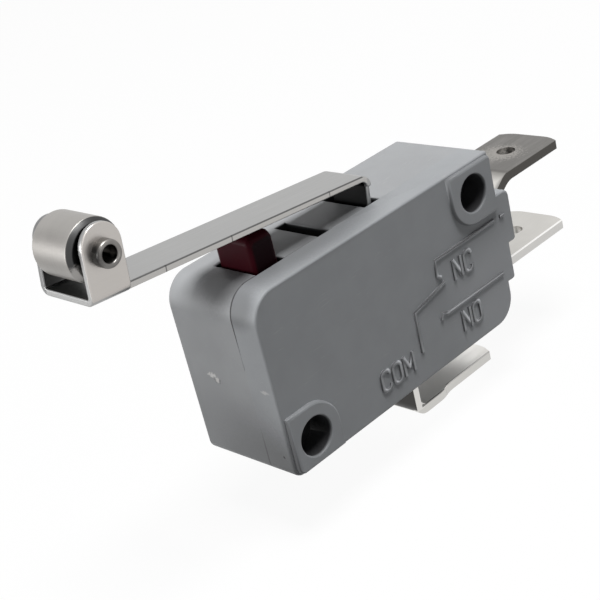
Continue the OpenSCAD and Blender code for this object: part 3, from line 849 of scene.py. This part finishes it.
@dataclass
class Housing:
    """The moulded case and its front cover."""

    left: float = -2.65
    right: float = 25.15
    bottom: float = -2.55
    top: float = 12.85
    rear: float = 5.15
    part: float = -2.05
    face: float = COVER_FACE
    pad: float = -5.15
    wall: float = 1.3
    outer_share: float = 0.6
    holes: tuple[Place, ...] = HOLES
    hole_r: float = 1.6
    hole_near: float = 0.1
    hole_cuts: tuple[float, ...] = (0.9, -0.9)
    rim: float = 0.2
    pad_rim: float = 0.18
    hole_rim: float = 0.14
    seam: float = 0.06
    seam_ends: tuple[float, float] = (9.0, 6.5)
    opening_rim: float = 0.12
    slot_wall: float = 14.2
    slot_floor: float = 11.45
    slot_more: float = 0.4
    upright: float = 0.5
    level: float = 0.1

    def _widen_slot(self, case: Piece) -> None:
        """Draw back the hinge slot's wall behind the lever's tail.

        Args:
            case: The case, before its edges are rounded.
        """
        for vertex in case.data.vertices:
            spot = vertex.co / MM
            if self._near(spot.x, self.slot_wall) and spot.z > self.slot_floor:
                vertex.co.x += self.slot_more * MM

    def _on_hole(self, edge: Edge) -> bool:
        """Tell whether an edge lies on a mounting hole."""
        reaches = [math.hypot(edge.middle.x - x, edge.middle.z - z) for x, z in self.holes]
        return any(abs(reach - self.hole_r) < self.hole_near for reach in reaches)

    def _outside(self, edge: Edge) -> bool:
        """Tell whether an edge lies on the body's outer wall.

        Args:
            edge: The edge.

        Returns:
            True if it does.
        """
        middle = Vector(((self.left + self.right) / 2, 0.0, (self.bottom + self.top) / 2))
        away = edge.middle - middle
        away.y = 0.0
        wall = next((normal for normal in edge.normals if abs(normal.y) < self.upright), None)
        reach = self.outer_share * self.wall
        inner = (self.left + reach < edge.middle.x < self.right - reach
                 and self.bottom + reach < edge.middle.z < self.top - reach)
        return wall is not None and wall.dot(away) > 0.0 and not inner

    def _near(self, value: float, plane: float) -> bool:
        """Tell whether a coordinate lies on a plane."""
        return abs(value - plane) < NEAR

    def _seam(self, edge: Edge) -> float:
        """Return the rounding along the parting line, seen only round the upper left corner."""
        right, low = self.seam_ends
        return self.seam if edge.middle.x < right and edge.middle.z > low else 0.0

    def case_rule(self, edge: Edge) -> float:
        """Choose the rounding of an edge of the case.

        Args:
            edge: The edge.

        Returns:
            The rounding's width, or 0.
        """
        if not edge.convex:
            return 0.0
        if self._near(edge.middle.y, self.rear):
            return self.hole_rim if self._on_hole(edge) else self.rim
        if self._near(edge.middle.y, self.part) and self._outside(edge):
            return self._seam(edge)
        if self._near(edge.middle.z, self.top) and abs(edge.along.z) < self.level:
            return self.opening_rim
        return 0.0

    def cover_rule(self, edge: Edge) -> float:
        """Choose the rounding of an edge of the cover.

        Args:
            edge: The edge.

        Returns:
            The rounding's width, or 0.
        """
        if not edge.convex:
            return 0.0
        if self._near(edge.middle.y, self.pad):
            return self.hole_rim if self._on_hole(edge) else self.pad_rim
        if self._near(edge.middle.y, self.face) and self._outside(edge):
            return self.rim
        if self._near(edge.middle.y, self.part) and self._outside(edge):
            return self._seam(edge)
        return 0.0

    def build(self, finishes: Finishes) -> None:
        """Build both shells.

        Args:
            finishes: The finishes of the switch.
        """
        right, low = self.seam_ends
        cuts = [Cut((x + shift, 0.0, 0.0), (1.0, 0.0, 0.0))
                for (x, _), shift in zip(self.holes, self.hole_cuts)]
        cuts += [Cut((right, 0.0, 0.0), (1.0, 0.0, 0.0)), Cut((0.0, 0.0, low), (0.0, 0.0, 1.0))]
        case = merged_copy("case", "case_shell", *cuts)
        self._widen_slot(case)
        round_edges(case, self.case_rule)
        dress(case, finishes.get(Finishes.GREY), Body.FIXED, Slot.GREY, "case")
        cover = merged_copy("cover", "cover_shell", *cuts)
        round_edges(cover, self.cover_rule)
        dress(cover, finishes.get(Finishes.COVER), Body.FIXED, Slot.GREY, "cover")


@dataclass
class CircuitMarks:
    """Raised circuit lines and terminal letters on the cover's face.

    A label gives the left end, the lower end and the height of its letters' centre lines.
    """

    face: float = COVER_FACE
    sink: float = 0.08
    rise: float = 0.12
    base_width: float = 0.36
    top_width: float = 0.23
    step: float = 0.004
    levels: int = 4
    letter_w: float = 0.95
    letter_r: float = 0.42
    wide_m: float = 1.2
    dip_m: float = 0.3
    pitch: float = 1.36
    lines: tuple[tuple[Place, ...], ...] = (
        ((24.43, 6.78), (16.5, 6.78), (16.4, 5.4), (16.87, 5.11)),
        ((17.22, 4.56), (13.1, 3.73), (13.1, 0.1)),
        ((24.42, 1.8), (16.88, 1.8), (16.22, 2.14), (15.98, 1.61)),
        ((25.2, 6.78), (25.75, 6.78)),
    )
    labels: dict[str, Point] = field(default_factory=lambda: {
        "NC": (18.5, 4.08, 1.82), "NO": (18.5, -0.72, 1.82), "COM": (8.0, -0.84, 1.72)})

    def _arc(self, x: float, z: float, start: float, stop: float, steps: int = 6) -> list[Place]:
        """Return the points of an arc with the letters' corner radius."""
        angles = [math.radians(start + (stop - start) * step / steps) for step in range(steps + 1)]
        return [(x + self.letter_r * math.cos(angle), z + self.letter_r * math.sin(angle))
                for angle in angles]

    def _letter(self, letter: str, x: float, z: float, h: float) -> tuple[list[Stroke], float]:
        """Draw one letter.

        Args:
            letter: One of C, M, N and O.
            x: Left end of its centre lines.
            z: Lower end of its centre lines.
            h: Height of its centre lines.

        Returns:
            Its strokes and its width.
        """
        w, r = self.letter_w, self.letter_r
        if letter == "N":
            return [([(x, z), (x, z + h)], False), ([(x, z + h), (x + w, z)], False),
                    ([(x + w, z), (x + w, z + h)], False)], w
        if letter == "M":
            w *= self.wide_m
            dip = (x + w / 2, z + self.dip_m * h)
            return [([(x, z), (x, z + h)], False), ([(x, z + h), dip], False),
                    ([dip, (x + w, z + h)], False), ([(x + w, z + h), (x + w, z)], False)], w
        upper = self._arc(x + w - r, z + h - r, 0, 90) + self._arc(x + r, z + h - r, 90, 180)
        lower = self._arc(x + r, z + r, 180, 270) + self._arc(x + w - r, z + r, 270, 360)
        return [(upper + lower, letter == "O")], w

    def _strokes(self) -> list[Stroke]:
        """Draw the lines and the labels.

        Returns:
            Every stroke, in order.
        """
        strokes: list[Stroke] = [(list(line), False) for line in self.lines]
        for word, (x, z, height) in self.labels.items():
            for letter in word:
                drawn, width = self._letter(letter, x, z, height)
                strokes += drawn
                x += width + self.pitch - self.letter_w
        return strokes

    def _paths(self, strokes: Sequence[Stroke]) -> Piece:
        """Lay the strokes out as loose edges near the ground plane.

        Args:
            strokes: The strokes, which lie at a few heights so that no two neighbours share one.

        Returns:
            The object with the edges.
        """
        points: list[Point] = []
        edges: list[tuple[int, int]] = []
        for index, (path, closed) in enumerate(strokes):
            start = len(points)
            points += [(x * MM, z * MM, index % self.levels * self.step * MM) for x, z in path]
            edges += [(first, first + 1) for first in range(start, len(points) - 1)]
            if closed:
                edges.append((len(points) - 1, start))
        mesh = bpy.data.meshes.new("circuit_marks")
        mesh.from_pydata(points, edges, [])
        made = bpy.data.objects.new("circuit_marks", mesh)
        bpy.context.scene.collection.objects.link(made)
        return made

    def _tree(self) -> bpy.types.NodeTree:
        """Build the nodes that run a tapered ridge along every path.

        Returns:
            The node tree, with inputs for the ridge's sizes and its material.
        """
        tree = bpy.data.node_groups.new("raised_ridge", "GeometryNodeTree")
        face = tree.interface
        face.new_socket(name="Geometry", in_out="INPUT", socket_type="NodeSocketGeometry")
        for name in ("Base Width", "Top Width", "Height", "Sink"):
            face.new_socket(name=name, in_out="INPUT", socket_type="NodeSocketFloat")
        face.new_socket(name="Material", in_out="INPUT", socket_type="NodeSocketMaterial")
        face.new_socket(name="Geometry", in_out="OUTPUT", socket_type="NodeSocketGeometry")
        graph = Graph(tree)
        given = graph.add("NodeGroupInput").outputs
        path = graph.add("GeometryNodeMeshToCurve", {"Mesh": given["Geometry"]})
        level = graph.add("GeometryNodeSetCurveNormal", {"Curve": path.outputs["Curve"]},
                          mode="Z_UP")
        sizes = {"Height": given["Height"], "Bottom Width": given["Base Width"],
                 "Top Width": given["Top Width"], "Offset": 0.0}
        profile = graph.add("GeometryNodeCurvePrimitiveQuadrilateral", sizes, mode="TRAPEZOID")
        ridge = graph.add("GeometryNodeCurveToMesh", {
            "Curve": level.outputs["Curve"], "Profile Curve": profile.outputs["Curve"],
            "Fill Caps": True})
        whole = graph.add("GeometryNodeMeshBoolean", {"Mesh 2": ridge.outputs["Mesh"]},
                          operation="UNION", solver="EXACT")
        whole.inputs["Self Intersection"].default_value = True
        half = graph.math("MULTIPLY", given["Height"], 0.5)
        lift = graph.math("SUBTRACT", half, given["Sink"])
        shift = graph.add("ShaderNodeCombineXYZ", {"Z": lift})
        placed = graph.add("GeometryNodeTransform", {
            "Geometry": whole.outputs["Mesh"], "Translation": shift.outputs["Vector"]})
        real = graph.add("GeometryNodeRealizeInstances", {"Geometry": placed.outputs["Geometry"]})
        dressed = graph.add("GeometryNodeSetMaterial", {
            "Geometry": real.outputs["Geometry"], "Material": given["Material"]})
        graph.add("NodeGroupOutput", {"Geometry": dressed.outputs["Geometry"]})
        return tree

    def build(self, finishes: Finishes) -> None:
        """Build the marks as one piece on the cover.

        Args:
            finishes: The finishes of the switch.
        """
        grey = finishes.get(Finishes.MARKS)
        made = self._paths(self._strokes())
        nodes = made.modifiers.new("ridges", "NODES")
        nodes.node_group = self._tree()
        values = {"Base Width": self.base_width * MM, "Top Width": self.top_width * MM,
                  "Height": (self.rise + self.sink) * MM, "Sink": self.sink * MM,
                  "Material": grey}
        for item in nodes.node_group.interface.items_tree:
            if item.in_out == "INPUT" and item.name in values:
                nodes[item.identifier] = values[item.name]
        settle(made)
        upright = Matrix.Rotation(math.pi / 2, 4, "X")
        made.data.transform(Matrix.Translation((0.0, self.face * MM, 0.0)) @ upright)
        dress(made, grey, Body.FIXED, Slot.GREY)


@dataclass
class PushButton:
    """The dark red button under the lever: its CAD foot and a rounded, domed head."""

    middle: Place = (2.2, 0.4)
    half: Place = (1.25, 2.15)
    split: float = 12.0
    top: float = 15.8859
    dome: float = 4.0
    corner: float = 0.55
    rim: float = 0.5
    arc: int = 5
    rings: int = 6

    def _outline(self, inset: float) -> list[Place]:
        """Draw the head's outline in plan, with rounded corners.

        Args:
            inset: How far the outline is moved inwards, less than the corners' radius.

        Returns:
            The outline's points round the head's middle.
        """
        radius = self.corner - inset
        wide, deep = self.half[0] - inset - radius, self.half[1] - inset - radius
        points = []
        for turn, (way_x, way_y) in enumerate(((1, 1), (-1, 1), (-1, -1), (1, -1))):
            for step in range(self.arc + 1):
                angle = math.radians(90 * (turn + step / self.arc))
                points.append((way_x * wide + radius * math.cos(angle),
                               way_y * deep + radius * math.sin(angle)))
        return points

    def _crown(self, x: float, y: float) -> float:
        """Return the height of the domed top at a place in plan."""
        return self.top - self.dome + math.sqrt(self.dome ** 2 - x * x - y * y)

    def _loops(self) -> list[list[Point]]:
        """Draw the head's rings from its foot over the rounded rim to near the crown.

        Returns:
            The rings' points round the head's middle.
        """
        loops = [[(x, y, self.split) for x, y in self._outline(0.0)]]
        for step in range(self.rings + 1):
            angle = math.radians(90 * step / self.rings)
            drop = self.rim * (1 - math.sin(angle))
            ring = self._outline(self.rim * (1 - math.cos(angle)))
            loops.append([(x, y, self._crown(x, y) - drop) for x, y in ring])
        edge = [(x, y) for x, y, _ in loops[-1]]
        for step in range(1, self.rings):
            share = 1 - step / self.rings
            ring = [(share * x, share * y) for x, y in edge]
            loops.append([(x, y, self._crown(x, y)) for x, y in ring])
        return loops

    def _head(self, work: bmesh.types.BMesh) -> None:
        """Add the closed head to a mesh.

        Args:
            work: The mesh.
        """
        shift = Vector((*self.middle, 0.0))
        loops = [[work.verts.new((Vector(point) + shift) * MM) for point in loop]
                 for loop in self._loops()]
        count = len(loops[0])
        for lower, upper in zip(loops, loops[1:]):
            for index in range(count):
                after = (index + 1) % count
                work.faces.new((lower[index], lower[after], upper[after], upper[index]))
        work.faces.new(tuple(reversed(loops[0])))
        crown = work.verts.new((shift + Vector((0.0, 0.0, self.top))) * MM)
        for index in range(count):
            work.faces.new((loops[-1][index], loops[-1][(index + 1) % count], crown))

    def build(self, finishes: Finishes) -> None:
        """Build the button.

        Args:
            finishes: The finishes of the switch.
        """
        made = merged_copy("plunger", "push_button")
        work = bmesh.new()
        work.from_mesh(made.data)
        whole = [*work.verts, *work.edges, *work.faces]
        split = bmesh.ops.bisect_plane(work, geom=whole, dist=MERGE / 2, clear_outer=True,
                                       plane_co=(0.0, 0.0, self.split * MM),
                                       plane_no=(0.0, 0.0, 1.0))
        rim = [part for part in split["geom_cut"] if isinstance(part, bmesh.types.BMEdge)]
        bmesh.ops.contextual_create(work, geom=rim)
        self._head(work)
        work.to_mesh(made.data)
        work.free()
        round_edges(made, unrounded)
        dress(made, finishes.get(Finishes.RED), Body.PLUNGER, Slot.RED, "plunger")


@dataclass
class RollerLever:
    """The bent sheet lever, its roller and the rivet that the roller turns on."""

    axle: Point = (-11.6758, 0.2, 20.7477)
    slope: float = LEVER_SLOPE
    sheet_rim: float = 0.11
    sheet_turn: float = 50.0
    roller_rim: float = 0.06
    roller_turn: float = 30.0
    ear_lift: float = 0.45
    ear_r: float = 1.65
    ear_near: float = 0.02
    far_side: float = 2.4
    far_ear: float = 0.9

    def _trim_far_ear(self, lever: Piece) -> None:
        """Draw in the round end of the far ear, which the roller hides.

        Args:
            lever: The lever, before its edges are rounded.
        """
        lean = math.radians(self.slope)
        lift = Vector((math.sin(lean), 0.0, math.cos(lean))) * self.ear_lift
        for vertex in lever.data.vertices:
            spot = vertex.co / MM
            middle = Vector((self.axle[0], spot.y, self.axle[2])) + lift
            away = spot - middle
            if spot.y > self.far_side and abs(away.length - self.ear_r) < self.ear_near:
                vertex.co = (middle + away * self.far_ear) * MM

    def sheet_rule(self, edge: Edge) -> float:
        """Return the rounding of an edge of the sheet."""
        return self.sheet_rim if edge.convex and edge.turn > self.sheet_turn else 0.0

    def roller_rule(self, edge: Edge) -> float:
        """Return the rounding of an edge of the roller."""
        return self.roller_rim if edge.convex and edge.turn > self.roller_turn else 0.0

    def build(self, finishes: Finishes) -> None:
        """Build the three pieces.

        Args:
            finishes: The finishes of the switch.
        """
        lean = math.radians(self.slope)
        across = Cut(self.axle, (math.cos(lean), 0.0, -math.sin(lean)))
        lever = merged_copy("lever", "roller_lever", across)
        self._trim_far_ear(lever)
        round_edges(lever, self.sheet_rule)
        dress(lever, finishes.get(Finishes.SHEET), Body.LEVER, Slot.NICKEL, "lever")
        roller = merged_copy("roller", "lever_roller", across)
        round_edges(roller, self.roller_rule)
        dress(roller, finishes.get(Finishes.TURNED), Body.ROLLER, Slot.NICKEL, "roller")
        rivet = merged_copy("roller_rivet", "roller_axle_rivet", across)
        round_edges(rivet, unrounded)
        dress(rivet, finishes.get(Finishes.RIVET), Body.LEVER, Slot.NICKEL, "roller_rivet")


@dataclass
class Terminals:
    """The three flat push-on terminals."""

    rim: float = 0.07
    rim_turn: float = 40.0
    bend: float = 0.5
    bend_turns: tuple[float, float] = (25.0, 45.0)
    straight: float = 0.9
    heel: Place = (13.15, -5.25)
    heel_radii: tuple[float, float] = (0.15, 0.95)
    ease: float = 0.45
    eased: str = "com_terminal"
    pieces: tuple[tuple[str, str, PlatedMetal], ...] = (
        ("com_terminal", "common_terminal", Finishes.COMMON_TIN),
        ("nc_terminal", "closed_terminal", Finishes.DULL_TIN),
        ("no_terminal", "open_terminal", Finishes.TIN),
    )

    def _ease_heel(self, made: Piece) -> None:
        """Open the common terminal's bend to a larger radius, with both of its legs in place.

        Args:
            made: The terminal, before its edges are rounded.
        """
        middle = Vector((self.heel[0], 0.0, self.heel[1]))
        shift = Vector((self.ease, 0.0, self.ease))
        for vertex in made.data.vertices:
            spot = vertex.co / MM
            away = spot - middle
            away.y = 0.0
            if away.x > NEAR or away.z > NEAR:
                continue
            if any(abs(away.length - radius) < NEAR for radius in self.heel_radii):
                grown = away.normalized() * (away.length + self.ease)
                vertex.co = (Vector((0.0, spot.y, 0.0)) + middle + shift + grown) * MM

    def bend_rule(self, edge: Edge) -> float:
        """Choose the rounding of a bend across the sheet or of a taper in its outline.

        Args:
            edge: The edge.

        Returns:
            The rounding's width, or 0.
        """
        least, most = self.bend_turns
        across = abs(edge.along.y) > self.straight and least < edge.turn < most
        taper = abs(edge.along.z) > self.straight and edge.turn < least
        return self.bend if across or taper else 0.0

    def rim_rule(self, edge: Edge) -> float:
        """Return the rounding of a cut edge of a terminal."""
        return self.rim if edge.convex and edge.turn > self.rim_turn else 0.0

    def build(self, finishes: Finishes) -> None:
        """Build the terminals.

        Args:
            finishes: The finishes of the switch.
        """
        for node, name, finish in self.pieces:
            made = merged_copy(node, name, Cut((0.0, 0.0, 0.0), (0.0, 1.0, 0.0)))
            if node == self.eased:
                self._ease_heel(made)
            round_edges(made, self.bend_rule)
            round_edges(made, self.rim_rule)
            dress(made, finishes.get(finish), Body.FIXED, Slot.TIN, node)


@dataclass
class SnapMechanism:
    """The sealed contacts, blade, drive arm and spring, which keep their CAD shapes."""

    looks: tuple[tuple[str, PlatedMetal], ...] = (
        ("nc_contact", Finishes.SILVER),
        ("no_contact", Finishes.SILVER),
        ("moving_contact", Finishes.SILVER),
        ("contact_blade", Finishes.COPPER),
        ("drive_arm", Finishes.SHEET),
        ("snap_spring", Finishes.WIRE),
    )

    def build(self, frame: dict[str, Any], finishes: Finishes) -> None:
        """Give each inner node its finish.

        Args:
            frame: The loaded frame.
            finishes: The finishes of the switch.
        """
        for node, finish in self.looks:
            made = frame["nodes"][node]
            made.data.materials.clear()
            made.data.materials.append(finishes.get(finish))
            LOG.info("%s keeps its CAD shape in %s", node, finish.name)


@dataclass(frozen=True)
class Lamp:
    """One square soft light that points at the object, with its sizes in metres."""

    name: str
    way: Point
    distance: float
    size: float
    watts: float


@dataclass
class Studio:
    """Camera, soft lights, white surround and floor; the clip and the floor size are in metres."""

    eye: Point = (-56.198, -75.271, 53.323)
    ahead: Point = (0.576235, 0.699163, -0.423231)
    right: Point = (0.683394, -0.696216, -0.219675)
    lens: float = 82.478
    sensor: float = 36.0
    clip: tuple[float, float] = (0.005, 20.0)
    lamps: tuple[Lamp, ...] = (
        Lamp("overhead", way=(0.0, -0.2, 0.98), distance=0.5, size=0.2, watts=2.85),
        Lamp("side", way=(-0.87, 0.48, 0.08), distance=0.5, size=0.2, watts=1.86),
        Lamp("front", way=(-0.2, -0.93, 0.15), distance=0.5, size=0.3, watts=0.27),
    )
    ambient: float = 0.02
    floor_drop: float = 2.0
    floor_size: float = 4.0
    floor_tone: float = 0.15
    floor_pale: float = 0.84
    floor_white: float = 0.94

    def camera(self) -> None:
        """Set the camera at the photograph's angle."""
        data = bpy.data.cameras.new("camera")
        data.lens = self.lens
        data.sensor_width = self.sensor
        data.clip_start, data.clip_end = self.clip
        made = bpy.data.objects.new("camera", data)
        back = -Vector(self.ahead)
        side = Vector(self.right)
        up = back.cross(side)
        turn = Matrix((side, up, back)).transposed().to_4x4()
        made.matrix_world = Matrix.Translation(Vector(self.eye) * MM) @ turn
        bpy.context.scene.collection.objects.link(made)
        bpy.context.scene.camera = made

    def lights(self) -> None:
        """Hang the soft lights."""
        for lamp in self.lamps:
            data = bpy.data.lights.new(lamp.name, "AREA")
            data.shape = "SQUARE"
            data.size = lamp.size
            data.energy = lamp.watts
            made = bpy.data.objects.new(lamp.name, data)
            way = Vector(lamp.way).normalized()
            made.location = way * lamp.distance
            made.rotation_euler = way.to_track_quat("Z", "Y").to_euler()
            made.visible_camera = False
            bpy.context.scene.collection.objects.link(made)

    def _seen(self, graph: Graph) -> Socket:
        """Pick out the rays that look at the surround: camera, glossy and transmission rays.

        Args:
            graph: The graph of the world or of the floor's material.

        Returns:
            1 for such a ray, and 0 for the others.
        """
        path = graph.add("ShaderNodeLightPath").outputs
        either = graph.math("MAXIMUM", path["Is Camera Ray"], path["Is Glossy Ray"])
        return graph.math("MAXIMUM", either, path["Is Transmission Ray"])

    def surround(self) -> None:
        """Make the world white to look at and in reflections, and a plain level as light."""
        world = bpy.data.worlds.new("surround")
        world.use_nodes = True
        bpy.context.scene.world = world
        tree = world.node_tree
        tree.nodes.clear()
        graph = Graph(tree)
        seen = self._seen(graph)
        light = graph.add("ShaderNodeBackground", {"Color": WHITE, "Strength": self.ambient})
        white = graph.add("ShaderNodeBackground", {"Color": WHITE, "Strength": 1.0})
        mixed = graph.add("ShaderNodeMixShader", {
            0: seen, 1: light.outputs[0], 2: white.outputs[0]})
        graph.add("ShaderNodeOutputWorld", {"Surface": mixed.outputs[0]})

    def floor(self) -> None:
        """Lay a pale floor that keeps the object's soft shadow."""
        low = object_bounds()[0][2] - self.floor_drop * MM
        half = self.floor_size / 2
        corners = [(-half, -half, low), (half, -half, low), (half, half, low), (-half, half, low)]
        mesh = bpy.data.meshes.new("floor")
        mesh.from_pydata(corners, [], [(0, 1, 2, 3)])
        made = bpy.data.objects.new("floor", mesh)
        bpy.context.scene.collection.objects.link(made)
        material = bpy.data.materials.new("pale_floor")
        material.use_nodes = True
        tree = material.node_tree
        tree.nodes.clear()
        graph = Graph(tree)
        seen = self._seen(graph)
        tones = [(tone, tone, tone) for tone in (self.floor_tone, self.floor_pale)]
        matte = graph.add("ShaderNodeBsdfDiffuse", {"Color": graph.blend(seen, *tones)})
        glow = graph.add("ShaderNodeEmission", {"Color": WHITE, "Strength": 1.0})
        share = graph.math("MULTIPLY", seen, self.floor_white)
        mixed = graph.add("ShaderNodeMixShader", {
            0: share, 1: matte.outputs[0], 2: glow.outputs[0]})
        graph.add("ShaderNodeOutputMaterial", {"Surface": mixed.outputs[0]})
        mesh.materials.append(material)
        made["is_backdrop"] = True

    def build(self) -> None:
        """Set up everything round the object."""
        bpy.context.scene.view_settings.view_transform = "Standard"
        self.camera()
        self.lights()
        self.surround()
        self.floor()


def main() -> None:
    """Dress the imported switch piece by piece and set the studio."""
    logging.basicConfig(level=logging.INFO, format="%(name)s: %(message)s")
    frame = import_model()
    NODES.update({node: made.name for node, made in frame["nodes"].items()})
    finishes = Finishes(EffectLibrary())
    Studio().build()
    Housing().build(finishes)
    CircuitMarks().build(finishes)
    PushButton().build(finishes)
    RollerLever().build(finishes)
    Terminals().build(finishes)
    SnapMechanism().build(frame, finishes)


if __name__ == "__main__":
    main()
